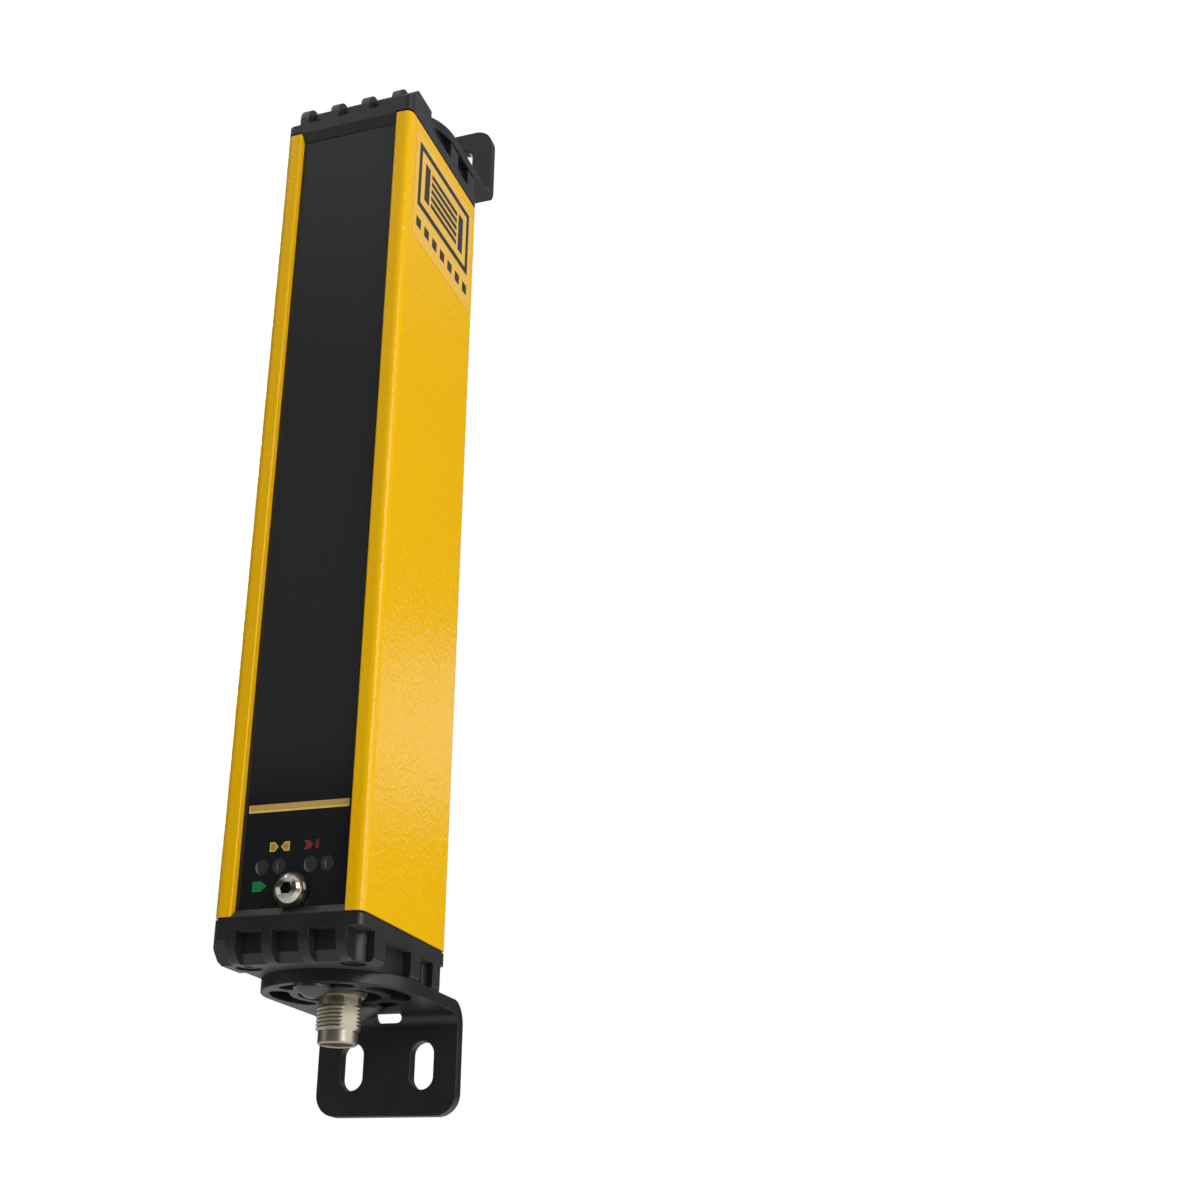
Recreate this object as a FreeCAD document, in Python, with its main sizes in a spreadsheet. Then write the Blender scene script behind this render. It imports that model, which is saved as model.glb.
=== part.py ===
import FreeCAD, Part
import math
import os
import Sketcher

# Receiver bar of a safety light curtain: extruded profile with a dark window, two ribbed end
# caps, an M12 connector at the lower end and two angle brackets that swivel about the bar.
# Row frame: +Z up along the bar, +Y towards the wall, origin on the wall face of the lower
# bracket, midway between its two slots.
# Bar frame: Z = 0 at the lower end of the profile, Y = 0 at the front plane of its lips.
# End frame: like the bar frame, but Z is the height outwards from an end of the profile.
# Every cut reaches 1 mm past the surface through which it leaves.

SIZES = {
    # profile
    "bar_length": 244.3,
    "bar_width": 42.0,
    "bar_depth": 54.4,
    "bar_corner": 2.3,
    "inner_corner": 1.0,
    "side_wall": 1.8,
    "back_wall": 1.8,
    "view_width": 31.8,
    "lip_depth": 2.2,
    "lip_round": 0.5,
    "ledge_depth": 1.5,
    "ledge_overlap": 1.0,
    # window and its seals
    "window_thick": 3.0,
    "window_grip": 1.8,
    "window_gap": 0.2,
    "seal_depth": 1.2,
    "seal_width": 1.8,
    # channels for the cap screws
    "channel_radius": 3.2,
    "channel_side": 14.7,
    "channel_front": 9.8,
    "channel_back": 46.0,
    "channel_web": 2.4,
    # boards and their rails
    "board_thick": 1.6,
    "board_gap": 0.1,
    "rail_reach": 1.6,
    "rail_wall": 1.2,
    "groove_reach": 1.3,
    "optical_board_front": 19.5,
    "logic_board_front": 36.5,
    "boards_low": 5.0,
    "board_tail_width": 18.0,
    "board_top_gap": 6.0,
    "chip_side": 12.0,
    "chip_height": 1.4,
    "chip_pitch": 30.0,
    "link_width": 16.0,
    "link_height": 6.0,
    # optics
    "carrier_width": 20.0,
    "carrier_front": 6.0,
    "carrier_low": 10.1,
    "carrier_wall": 1.5,
    "lens_radius": 5.0,
    "lens_edge": 2.0,
    "lens_crown": 1.3,
    "beam_opening": 6.6,
    "beam_count": 11,
    "beam_pitch": 20.0,
    "first_beam": 32.0,
    "diode_side": 4.2,
    "diode_height": 2.4,
    # indicators
    "guide_radius": 1.9,
    "guide_inner": 4.6,
    "guide_outer": 9.35,
    "guide_height": 12.6,
    "led_side": 2.6,
    "led_depth": 1.6,
    # screw at the foot of the window
    "window_screw_height": 6.3,
    "window_screw_radius": 2.5,
    "window_screw_length": 9.0,
    "window_head_radius": 4.75,
    "window_head_height": 2.75,
    "window_head_flat": 2.9,
    "window_head_fullness": 1.25,
    "window_hex": 3.0,
    "window_hex_depth": 1.6,
    "window_washer_thick": 0.8,
    "window_washer_radius": 3.9,
    "window_hole_gap": 0.2,
    "window_nut_radius": 3.3,
    "window_nut_length": 5.0,
    # end caps
    "cap_height": 11.3,
    "collar_height": 4.0,
    "gasket_thick": 0.6,
    "gasket_inset": 0.4,
    "gasket_width": 1.7,
    "cap_back_step": 1.9,
    "slope_start": 5.9,
    "slope_in": 5.4,
    "side_bevel_start": 10.3,
    "side_bevel_in": 0.8,
    "rib_curve_start": 5.8,
    "rib_curve_in": 4.2,
    "rib_reach": 7.0,
    "rib_width": 2.8,
    "rib_pitch": 10.3,
    "front_pocket": 3.0,
    "front_pocket_start": 3.6,
    "side_pocket": 2.6,
    "side_pocket_start": 4.4,
    "back_pocket": 1.4,
    "corner_notch_back": 8.2,
    "big_pocket_front": 14.7,
    "big_pocket_back": 31.0,
    "small_pocket_front": 37.0,
    "small_pocket_back": 45.7,
    "cap_shell": 3.0,
    "cap_floor": 2.9,
    "cap_boss_radius": 4.2,
    "thread_boss_wall": 1.0,
    "thread_boss_low": 2.6,
    "tongue_gap": 0.1,
    "tab_depth": 5.0,
    "tab_thick": 2.0,
    "tab_gap": 0.15,
    "side_tab_front": 24.0,
    "side_tab_back": 30.5,
    "back_tab_width": 18.0,
    "nut_boss_width": 13.0,
    "nut_boss_back": 12.0,
    "nut_boss_top": 9.8,
    # cap screws
    "cap_screw_radius": 2.0,
    "cap_screw_gap": 0.2,
    "cap_screw_head": 3.2,
    "cap_screw_head_height": 2.4,
    "cap_screw_sink": 2.9,
    "cap_screw_length": 20.0,
    "cap_screw_hex": 2.5,
    # connector
    "connector_back": 33.5,
    "thread_radius": 6.0,
    "thread_start": 17.4,
    "nose_end": 27.4,
    "neck_radius": 5.4,
    "shell_hole_gap": 0.1,
    "mouth_radius": 4.4,
    "mouth_depth": 8.6,
    "flat_distance": 5.05,
    "flat_turn": 57.0,
    "flange_radius": 8.0,
    "flange_thick": 1.4,
    "connector_seal_thick": 0.8,
    "nut_width": 14.0,
    "nut_height": 2.9,
    "ring_radius": 6.5,
    "ring_height": 0.8,
    "insert_foot": 1.8,
    "pin_radius": 0.5,
    "pin_circle": 2.5,
    "pin_stub": 0.8,
    "key_width": 1.4,
    "key_reach": 1.2,
    "edge_break": 0.5,
    "pin_tip_back": 1.6,
    "connector_board_width": 26.0,
    "connector_board_depth": 15.0,
    # brackets
    "sheet_thick": 3.4,
    "plate_radius": 21.0,
    "bend_radius": 3.0,
    "flange_reach": 31.5,
    "flange_end": 41.7,
    "flange_corner": 6.0,
    "bracket_bore": 11.0,
    "arc_radius": 16.0,
    "arc_width": 5.4,
    "swivel_limit": 30.0,
    "wall_slot_side": 10.6,
    "wall_slot_height": 28.3,
    "wall_slot_width": 7.0,
    "wall_slot_length": 13.0,
    "bend_window_width": 9.0,
    "bend_window_low": 1.0,
    "bend_window_height": 4.4,
    # bracket screws
    "bracket_screw_radius": 2.0,
    "bracket_screw_length": 11.0,
    "bracket_head_radius": 4.3,
    "bracket_head_height": 3.4,
    "bracket_rim_radius": 5.15,
    "bracket_rim_height": 0.9,
    # label
    "label_front": 5.0,
    "label_back": 50.3,
    "label_low": 203.0,
    "label_high": 240.5,
    "label_corner": 3.0,
    "label_thick": 0.15,
}

doc = FreeCAD.newDocument("LightCurtainReceiver")
sheet = doc.addObject("Spreadsheet::Sheet", "Sizes")
for row, (word, number) in enumerate(SIZES.items(), start=1):
    sheet.set("A%d" % row, word)
    sheet.set("B%d" % row, str(number))
    sheet.setAlias("B%d" % row, word)
doc.recompute()


class Size:
    """A length that carries its number and the sheet expression that gives it."""

    def __init__(self, value, text):
        self.value = float(value)
        self.text = text

    def _join(self, other, sign, value):
        return Size(value, "(%s %s %s)" % (self.text, sign, other.text))

    def __add__(self, other):
        other = as_size(other)
        return self._join(other, "+", self.value + other.value)

    def __radd__(self, other):
        return as_size(other) + self

    def __sub__(self, other):
        other = as_size(other)
        return self._join(other, "-", self.value - other.value)

    def __rsub__(self, other):
        return as_size(other) - self

    def __mul__(self, other):
        other = as_size(other)
        return self._join(other, "*", self.value * other.value)

    def __rmul__(self, other):
        return as_size(other) * self

    def __truediv__(self, other):
        other = as_size(other)
        return self._join(other, "/", self.value / other.value)

    def __neg__(self):
        return as_size(0) - self


def as_size(value):
    """Any number as a Size."""
    if isinstance(value, Size):
        return value
    return Size(value, repr(float(value)))


def size(word):
    """The cell with this alias as a Size."""
    return Size(SIZES[word], "Sizes." + word)


def root(value):
    return Size(math.sqrt(value.value), "sqrt(%s)" % value.text)


def sine(angle):
    return Size(math.sin(math.radians(angle.value)), "sin(%s)" % angle.text)


def cosine(angle):
    return Size(math.cos(math.radians(angle.value)), "cos(%s)" % angle.text)


def bind(thing, prop, value):
    """Set a property to a size and keep it tied to the sheet."""
    thing.setExpression(prop, as_size(value).text)


# Lengths that follow from the sheet

half_width = size("bar_width") / 2
view_half = size("view_width") / 2
window_half = view_half + size("window_grip")
window_slot_half = window_half + size("window_gap")
window_back = size("lip_depth") + size("window_thick")
ledge_front = window_back + size("seal_depth")
cavity_front = ledge_front + size("ledge_depth")
cavity_half = half_width - size("side_wall")
cavity_back = size("bar_depth") - size("back_wall")
ledge_half = view_half - size("ledge_overlap")
board_half = cavity_half - size("rail_reach") + size("groove_reach") - size("board_gap")
cap_back = size("bar_depth") - size("cap_back_step")
window_low = size("lip_depth") + size("window_gap")
window_high = size("bar_length") - window_low
plate_top = size("cap_height")
plate_face = plate_top + size("sheet_thick")
flange_face = size("connector_back") + size("flange_reach")
wall_face = flange_face + size("sheet_thick")
floor_start = size("cap_height") - size("cap_floor")
boards_high = size("bar_length") - size("board_top_gap")

LOWER = "lower"
UPPER = "upper"
FLIP = FreeCAD.Rotation(FreeCAD.Vector(0, 1, 0), 180)
parts = []


# Helpers for bodies, sketches and features

def new_body(label):
    body = doc.addObject("PartDesign::Body", label)
    body.Label = label
    return body


def place_in_bar(thing):
    """Move a piece from the bar frame to the row frame."""
    bind(thing, "Placement.Base.y", -wall_face)
    bind(thing, "Placement.Base.z", size("wall_slot_height"))
    parts.append(thing)
    return thing


def place_at_end(thing, end):
    """Move a piece from an end frame to the row frame."""
    if end == LOWER:
        thing.Placement = FreeCAD.Placement(FreeCAD.Vector(), FLIP)
        return place_in_bar(thing)
    bind(thing, "Placement.Base.y", -wall_face)
    bind(thing, "Placement.Base.z", size("wall_slot_height") + size("bar_length"))
    parts.append(thing)
    return thing


def plane_of(body, role):
    for feature in body.Origin.OriginFeatures:
        if feature.Role == role:
            return feature
    raise ValueError(role)


def new_sketch(body, name, role="XY_Plane", lift=None, shift=None):
    """A sketch on an origin plane, lifted along its normal or shifted along its own Y."""
    sketch = body.newObject("Sketcher::SketchObject", name)
    sketch.AttachmentSupport = (plane_of(body, role), [""])
    sketch.MapMode = "FlatFace"
    if lift is not None:
        bind(sketch, "AttachmentOffset.Base.z", lift)
    if shift is not None:
        bind(sketch, "AttachmentOffset.Base.y", shift)
    return sketch


def pin_point(sketch, geometry, point, x, y):
    """Hold one point of a sketch at x, y."""
    for kind, axis, value in (("DistanceX", -2, x), ("DistanceY", -1, y)):
        if abs(value.value) < 1e-9:
            sketch.addConstraint(Sketcher.Constraint("PointOnObject", geometry, point, axis))
            continue
        number = sketch.addConstraint(
            Sketcher.Constraint(kind, -1, 1, geometry, point, value.value))
        sketch.setExpression("Constraints[%d]" % number, value.text)


def arc_between(start, end, radius):
    """The shorter arc from start to end; it turns left where radius is positive."""
    chord = end - start
    middle = (start + end) * 0.5
    side = FreeCAD.Vector(-chord.y, chord.x, 0).normalize()
    rise = math.sqrt(max(radius * radius - chord.Length ** 2 / 4, 0.0))
    centre = middle + side * (rise if radius > 0 else -rise)
    first = math.atan2(start.y - centre.y, start.x - centre.x)
    last = math.atan2(end.y - centre.y, end.x - centre.x)
    circle = Part.Circle(centre, FreeCAD.Vector(0, 0, 1), abs(radius))
    if radius > 0:
        return Part.ArcOfCircle(circle, first, last)
    return Part.ArcOfCircle(circle, last, first)


def outline(sketch, corners):
    """A closed outline. A corner is (x, y) or (x, y, radius of the arc that leaves it)."""
    corners = [tuple(as_size(value) for value in corner) for corner in corners]
    spots = [FreeCAD.Vector(corner[0].value, corner[1].value, 0) for corner in corners]
    pieces = []
    for index, corner in enumerate(corners):
        start = spots[index]
        end = spots[(index + 1) % len(spots)]
        if len(corner) == 2:
            pieces.append((sketch.addGeometry(Part.LineSegment(start, end)), 1, 2))
            continue
        radius = corner[2]
        number = sketch.addGeometry(arc_between(start, end, radius.value))
        held = sketch.addConstraint(Sketcher.Constraint("Radius", number, abs(radius.value)))
        sketch.setExpression("Constraints[%d]" % held, "abs(%s)" % radius.text)
        pieces.append((number, 1, 2) if radius.value > 0 else (number, 2, 1))
    for index, (number, first, last) in enumerate(pieces):
        following, begin, _ = pieces[(index + 1) % len(pieces)]
        sketch.addConstraint(Sketcher.Constraint("Coincident", number, last, following, begin))
        pin_point(sketch, number, first, corners[index][0], corners[index][1])


def rectangle(sketch, x_low, y_low, x_high, y_high):
    outline(sketch, [(x_low, y_low), (x_high, y_low), (x_high, y_high), (x_low, y_high)])


def rounded(sketch, x_low, y_low, x_high, y_high, radius):
    outline(sketch, [
        (x_low + radius, y_low), (x_high - radius, y_low, radius),
        (x_high, y_low + radius), (x_high, y_high - radius, radius),
        (x_high - radius, y_high), (x_low + radius, y_high, radius),
        (x_low, y_high - radius), (x_low, y_low + radius, radius)])


def obround(sketch, x, y, width, length):
    """An upright slot with round ends."""
    side = width / 2
    reach = length / 2 - side
    outline(sketch, [
        (x - side, y - reach, side), (x, y - length / 2, side),
        (x + side, y - reach), (x + side, y + reach, side),
        (x, y + length / 2, side), (x - side, y + reach)])


def circle(sketch, x, y, radius):
    x, y, radius = as_size(x), as_size(y), as_size(radius)
    centre = FreeCAD.Vector(x.value, y.value, 0)
    number = sketch.addGeometry(
        Part.Circle(centre, FreeCAD.Vector(0, 0, 1), radius.value))
    held = sketch.addConstraint(Sketcher.Constraint("Radius", number, radius.value))
    sketch.setExpression("Constraints[%d]" % held, radius.text)
    pin_point(sketch, number, 3, x, y)


def pad(body, sketch, name, length, midplane=False, backwards=False):
    feature = body.newObject("PartDesign::Pad", name)
    feature.Profile = sketch
    feature.Midplane = midplane
    feature.Reversed = backwards
    bind(feature, "Length", length)
    return feature


def pocket(body, sketch, name, length, midplane=False, backwards=False):
    feature = body.newObject("PartDesign::Pocket", name)
    feature.Profile = sketch
    feature.Midplane = midplane
    feature.Reversed = backwards
    bind(feature, "Length", length)
    return feature


def turned(body, sketch, name):
    """Revolve a sketch drawn on a plane that holds the piece's own axis."""
    feature = body.newObject("PartDesign::Revolution", name)
    feature.Profile = sketch
    feature.ReferenceAxis = (sketch, ["V_Axis"])
    feature.Angle = 360
    return feature


def block(body, name, x_low, x_high, y_low, y_high, z_low, z_high, cut=False):
    """A box added to a body, or cut from it."""
    kind = "PartDesign::SubtractiveBox" if cut else "PartDesign::AdditiveBox"
    feature = body.newObject(kind, name)
    bind(feature, "Length", as_size(x_high) - x_low)
    bind(feature, "Width", as_size(y_high) - y_low)
    bind(feature, "Height", as_size(z_high) - z_low)
    bind(feature, "Placement.Base.x", x_low)
    bind(feature, "Placement.Base.y", y_low)
    bind(feature, "Placement.Base.z", z_low)
    return feature


def rod(body, name, x, y, z_low, z_high, radius, cut=False):
    """An upright cylinder added to a body, or cut from it."""
    kind = "PartDesign::SubtractiveCylinder" if cut else "PartDesign::AdditiveCylinder"
    feature = body.newObject(kind, name)
    bind(feature, "Radius", radius)
    bind(feature, "Height", as_size(z_high) - z_low)
    bind(feature, "Placement.Base.x", x)
    bind(feature, "Placement.Base.y", y)
    bind(feature, "Placement.Base.z", z_low)
    return feature


def bore_back(body, name, x, z, y_low, y_high, radius, cut=True):
    """A cylinder along Y, cut from a body or added to it."""
    kind = "PartDesign::SubtractiveCylinder" if cut else "PartDesign::AdditiveCylinder"
    feature = body.newObject(kind, name)
    feature.Placement = FreeCAD.Placement(
        FreeCAD.Vector(), FreeCAD.Rotation(FreeCAD.Vector(1, 0, 0), -90))
    bind(feature, "Radius", radius)
    bind(feature, "Height", as_size(y_high) - y_low)
    bind(feature, "Placement.Base.x", x)
    bind(feature, "Placement.Base.y", y_low)
    bind(feature, "Placement.Base.z", z)
    return feature


def group(label, model, spots, place, *where):
    """Identical pieces as one sub-part: a link to the model at each spot."""
    links = []
    for number, (x, y, z) in enumerate(spots, start=1):
        link = doc.addObject("App::Link", "%s_%d" % (label, number))
        link.LinkedObject = model
        bind(link, "Placement.Base.x", x)
        bind(link, "Placement.Base.y", y)
        bind(link, "Placement.Base.z", z)
        links.append(link)
    bundle = doc.addObject("Part::Compound", label)
    bundle.Label = label
    bundle.Links = links
    return place(bundle, *where)


# Profile and window

def screw_channels():
    """Places of the four channels, the same in every frame of the bar."""
    side = size("channel_side")
    return [(sign * side, size(depth)) for sign in (-1, 1)
            for depth in ("channel_front", "channel_back")]


def build_profile():
    body = new_body("housing_profile")
    length = size("bar_length")

    shell = new_sketch(body, "profile_outline")
    rounded(shell, -half_width, as_size(0), half_width, size("bar_depth"), size("bar_corner"))
    pad(body, shell, "profile_bar", length)

    hollow = new_sketch(body, "profile_hollow")
    rounded(hollow, -cavity_half, cavity_front, cavity_half, cavity_back, size("inner_corner"))
    pocket(body, hollow, "profile_cavity", length, backwards=True)

    slot = new_sketch(body, "window_slot")
    rectangle(slot, -window_slot_half, size("lip_depth"), window_slot_half, ledge_front)
    pocket(body, slot, "window_slot_cut", length, backwards=True)

    view = new_sketch(body, "front_view")
    lip = size("lip_round")
    view_end = view_half + lip
    view_back = ledge_front - size("seal_depth") / 2
    outline(view, [(-view_end, as_size(-1)), (view_end, as_size(-1)),
                   (view_end, as_size(0), -lip), (view_half, lip), (view_half, view_back),
                   (-view_half, view_back), (-view_half, lip, -lip), (-view_end, as_size(0))])
    pocket(body, view, "front_view_cut", length, backwards=True)

    ledge = new_sketch(body, "ledge_view")
    rectangle(ledge, -ledge_half, window_back, ledge_half, cavity_front + 1)
    pocket(body, ledge, "ledge_view_cut", length, backwards=True)

    for number, (x, y) in enumerate(screw_channels()):
        rod(body, "channel_%d" % number, x, y, 0, length, size("channel_radius"))
        web = size("channel_web") / 2
        low, high = (x, cavity_half + 0.5) if x.value > 0 else (-cavity_half - 0.5, x)
        block(body, "channel_web_%d" % number, low, high, y - web, y + web, 0, length)
        rod(body, "channel_bore_%d" % number, x, y, 0, length,
            size("cap_screw_radius"), cut=True)

    rail = size("rail_wall") + size("board_gap")
    for front in ("optical_board_front", "logic_board_front"):
        low = size(front) - rail
        high = size(front) + size("board_thick") + rail
        for name, sign in (("left", -1), ("right", 1)):
            inner = sign * (cavity_half - size("rail_reach"))
            outer = sign * (cavity_half + 0.5)
            ends = (outer, inner) if sign < 0 else (inner, outer)
            block(body, "%s_rail_%s" % (front, name), ends[0], ends[1], low, high, 0, length)
            depth = sign * (cavity_half - size("rail_reach") + size("groove_reach"))
            mouth = sign * (cavity_half - size("rail_reach") - 1)
            ends = (depth, mouth) if sign < 0 else (mouth, depth)
            block(body, "%s_groove_%s" % (front, name), ends[0], ends[1],
                  low + size("rail_wall"), high - size("rail_wall"), 0, length, cut=True)
    return place_in_bar(body)


def build_window():
    body = new_body("front_window")
    block(body, "window_strip", -window_half, window_half,
          size("lip_depth"), window_back, window_low, window_high)
    bore_back(body, "window_screw_hole", 0, size("window_screw_height"),
              size("lip_depth") - 1, window_back + 1,
              size("window_screw_radius") + size("window_hole_gap"))
    return place_in_bar(body)


def build_window_seal(side, sign):
    body = new_body("window_seal_" + side)
    outer = sign * window_half
    inner = sign * (window_half - size("seal_width") + size("window_gap"))
    ends = (outer, inner) if sign < 0 else (inner, outer)
    block(body, "seal_strip_" + side, ends[0], ends[1],
          window_back, ledge_front, 0, size("bar_length"))
    return place_in_bar(body)


# End caps and what holds them

def rib_places():
    pitch = size("rib_pitch")
    return [pitch * (index - 1.5) for index in range(4)]


def cut_cap_slopes(body, end):
    """The slope along the front edge of a cap and the narrow bevels of its side edges."""
    height = size("cap_height")
    low = size("slope_start")
    run = size("slope_in")
    slope = new_sketch(body, end + "_front_slope", "YZ_Plane")
    outline(slope, [(as_size(-1), low), (as_size(0), low), (run, height), (run, height + 1),
                    (as_size(-1), height + 1)])
    pocket(body, slope, end + "_front_slope_cut", size("bar_width") + 2, midplane=True)

    bevels = new_sketch(body, end + "_side_bevels", "XZ_Plane")
    low = size("side_bevel_start")
    for sign in (-1, 1):
        inner = sign * (half_width - size("side_bevel_in"))
        outer = sign * half_width
        past = sign * (half_width + 1)
        outline(bevels, [(outer, low), (past, low), (past, height + 1), (inner, height + 1),
                         (inner, height)])
    pocket(body, bevels, end + "_side_bevels_cut", 2 * size("bar_depth"), midplane=True)


def add_cap_ribs(body, end):
    """Four ribs with a curved front that stand on the slope."""
    height = size("cap_height")
    low = size("rib_curve_start")
    inward = size("rib_curve_in")
    rise = height - low
    curve_radius = (inward * inward + rise * rise) / (2 * inward)
    for number, x in enumerate(rib_places()):
        side = new_sketch(body, "%s_rib_side_%d" % (end, number), "YZ_Plane", lift=x)
        outline(side, [(as_size(0), low - 1), (size("rib_reach"), low - 1),
                       (size("rib_reach"), height), (inward, height, curve_radius),
                       (as_size(0), low)])
        pad(body, side, "%s_rib_%d" % (end, number), size("rib_width"), midplane=True)


def cut_cap_pockets(body, end):
    """Pockets open to the end of the cap, and one corner cut away beside the ribs."""
    top = size("cap_height") + 1
    ribs = rib_places()
    half_rib = size("rib_width") / 2
    front_start = size("front_pocket_start")
    side_start = size("side_pocket_start")
    for number in range(3):
        low = ribs[number] + half_rib
        high = ribs[number + 1] - half_rib
        block(body, "%s_front_pocket_%d" % (end, number), low, high, -1, size("front_pocket"),
              front_start, top, cut=True)
        block(body, "%s_back_pocket_%d" % (end, number), low, high,
              cap_back - size("back_pocket"), cap_back + 1, side_start, top, cut=True)
    past = half_width + 1
    block(body, end + "_corner_notch", -past, -(ribs[3] + half_rib), -1,
          size("corner_notch_back"), front_start, top, cut=True)

    deep = half_width - size("side_pocket")
    for name, low, high in (("left", -past, -deep), ("right", deep, past)):
        for kind in ("big_pocket", "small_pocket"):
            block(body, "%s_%s_%s" % (end, kind, name), low, high, size(kind + "_front"),
                  size(kind + "_back"), side_start, top, cut=True)


def build_cap(end):
    body = new_body(end + "_end_cap")
    start = size("gasket_thick")
    height = size("cap_height")

    collar = new_sketch(body, end + "_collar", lift=start)
    rounded(collar, -half_width, as_size(0), half_width, size("bar_depth"), size("bar_corner"))
    pad(body, collar, end + "_collar_pad", size("collar_height") - start)

    crown = new_sketch(body, end + "_crown", lift=start)
    rounded(crown, -half_width, as_size(0), half_width, cap_back, size("bar_corner"))
    pad(body, crown, end + "_crown_pad", height - start)

    cut_cap_slopes(body, end)
    add_cap_ribs(body, end)
    cut_cap_pockets(body, end)

    room = new_sketch(body, end + "_room", lift=start)
    inset = size("side_pocket") + size("cap_shell")
    rounded(room, inset - half_width, cavity_front + 1, half_width - inset,
            cap_back - size("cap_shell") - size("back_pocket") + 1, size("inner_corner"))
    pocket(body, room, end + "_room_cut", floor_start - start, backwards=True)

    for number, (x, y) in enumerate(screw_channels()):
        rod(body, "%s_corner_boss_%d" % (end, number), x, y, start, height,
            size("cap_boss_radius"))
    for name, y in bracket_screw_places():
        rod(body, "%s_%s_boss" % (end, name), 0, y, size("thread_boss_low"), height,
            size("bracket_screw_radius") + size("thread_boss_wall"))
        rod(body, "%s_%s_thread" % (end, name), 0, y,
            plate_face - size("bracket_screw_length"), height + 1,
            size("bracket_screw_radius"), cut=True)
    for number, (x, y) in enumerate(screw_channels()):
        rod(body, "%s_screw_hole_%d" % (end, number), x, y, start - 1, height + 1,
            size("cap_screw_radius") + size("cap_screw_gap"), cut=True)
        rod(body, "%s_screw_sink_%d" % (end, number), x, y,
            height - size("cap_screw_sink"), height + 1,
            size("cap_screw_head") + size("cap_screw_gap"), cut=True)

    tongue = new_sketch(body, end + "_tongue", "YZ_Plane")
    outline(tongue, [(as_size(0), start + 1), (as_size(0), as_size(0)),
                     (size("lip_depth"), -size("lip_depth")), (window_back, -size("lip_depth")),
                     (window_back, start + 1)])
    pad(body, tongue, end + "_tongue_pad", 2 * (view_half - size("tongue_gap")), midplane=True)

    tab = cavity_half - size("tab_gap")
    for name, sign in (("left", -1), ("right", 1)):
        ends = (-tab, size("tab_thick") - tab) if sign < 0 else (tab - size("tab_thick"), tab)
        block(body, "%s_side_tab_%s" % (end, name), ends[0], ends[1],
              size("side_tab_front"), size("side_tab_back"), -size("tab_depth"), start + 1)
    back = cavity_back - size("tab_gap")
    block(body, end + "_back_tab", -size("back_tab_width") / 2, size("back_tab_width") / 2,
          back - size("tab_thick"), back, -size("tab_depth"), start + 1)

    if end == LOWER:
        rod(body, "shell_hole", 0, size("connector_back"), floor_start - 1, height + 1,
            size("thread_radius") + size("shell_hole_gap"), cut=True)
        half_boss = size("nut_boss_width") / 2
        block(body, "nut_boss", -half_boss, half_boss, window_back + 0.1,
              size("nut_boss_back"), -size("nut_boss_top"), start + 1)
        block(body, "nut_boss_root", -half_boss, half_boss, window_back - 0.5,
              cavity_front + 2, start, start + 2)
        bore_back(body, "nut_seat", 0, -size("window_screw_height"), window_back,
                  size("nut_boss_back") + 1, size("window_nut_radius"))
    return place_at_end(body, end)


def build_gasket(end):
    body = new_body(end + "_cap_gasket")
    inset = size("gasket_inset")
    width = size("gasket_width")
    ring = new_sketch(body, end + "_gasket_ring")
    rounded(ring, inset - half_width, inset, half_width - inset, size("bar_depth") - inset,
            size("bar_corner"))
    rounded(ring, width - half_width, cavity_front - inset, half_width - width,
            size("bar_depth") - width, size("inner_corner"))
    pad(body, ring, end + "_gasket_pad", size("gasket_thick"))
    block(body, end + "_tongue_room", -view_half, view_half, -1, cavity_front,
          -1, size("gasket_thick") + 1, cut=True)
    return place_at_end(body, end)


def build_cap_screw():
    """One cap screw, its seat at Z = 0 and its shank downwards."""
    body = new_body("cap_screw_model")
    head = size("cap_screw_head")
    height = size("cap_screw_head_height")
    side = new_sketch(body, "cap_screw_side", "XZ_Plane")
    shank = size("cap_screw_radius")
    outline(side, [(as_size(0), -size("cap_screw_length")), (shank, -size("cap_screw_length")),
                   (shank, as_size(0)), (head, as_size(0)), (head, height), (as_size(0), height)])
    turned(body, side, "cap_screw_turned")
    socket(body, "cap_screw_socket", size("cap_screw_hex"), height, height / 2)
    return body


def socket(body, name, width, top, depth, role="XY_Plane"):
    """A hexagonal recess, width across flats, cut down from the plane at the top."""
    corner = width / root(as_size(3))
    flat = corner / 2
    half = width / 2
    key = new_sketch(body, name, role, lift=top)
    outline(key, [(corner, as_size(0)), (flat, half), (-flat, half),
                  (-corner, as_size(0)), (-flat, -half), (flat, -half)])
    return pocket(body, key, name + "_cut", depth)


def build_cap_screws(end, model):
    seat = size("cap_height") - size("cap_screw_sink")
    spots = [(x, y, seat) for x, y in screw_channels()]
    return group(end + "_cap_screws", model, spots, place_at_end, end)


# Connector, in the lower end frame about its own axis

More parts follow.
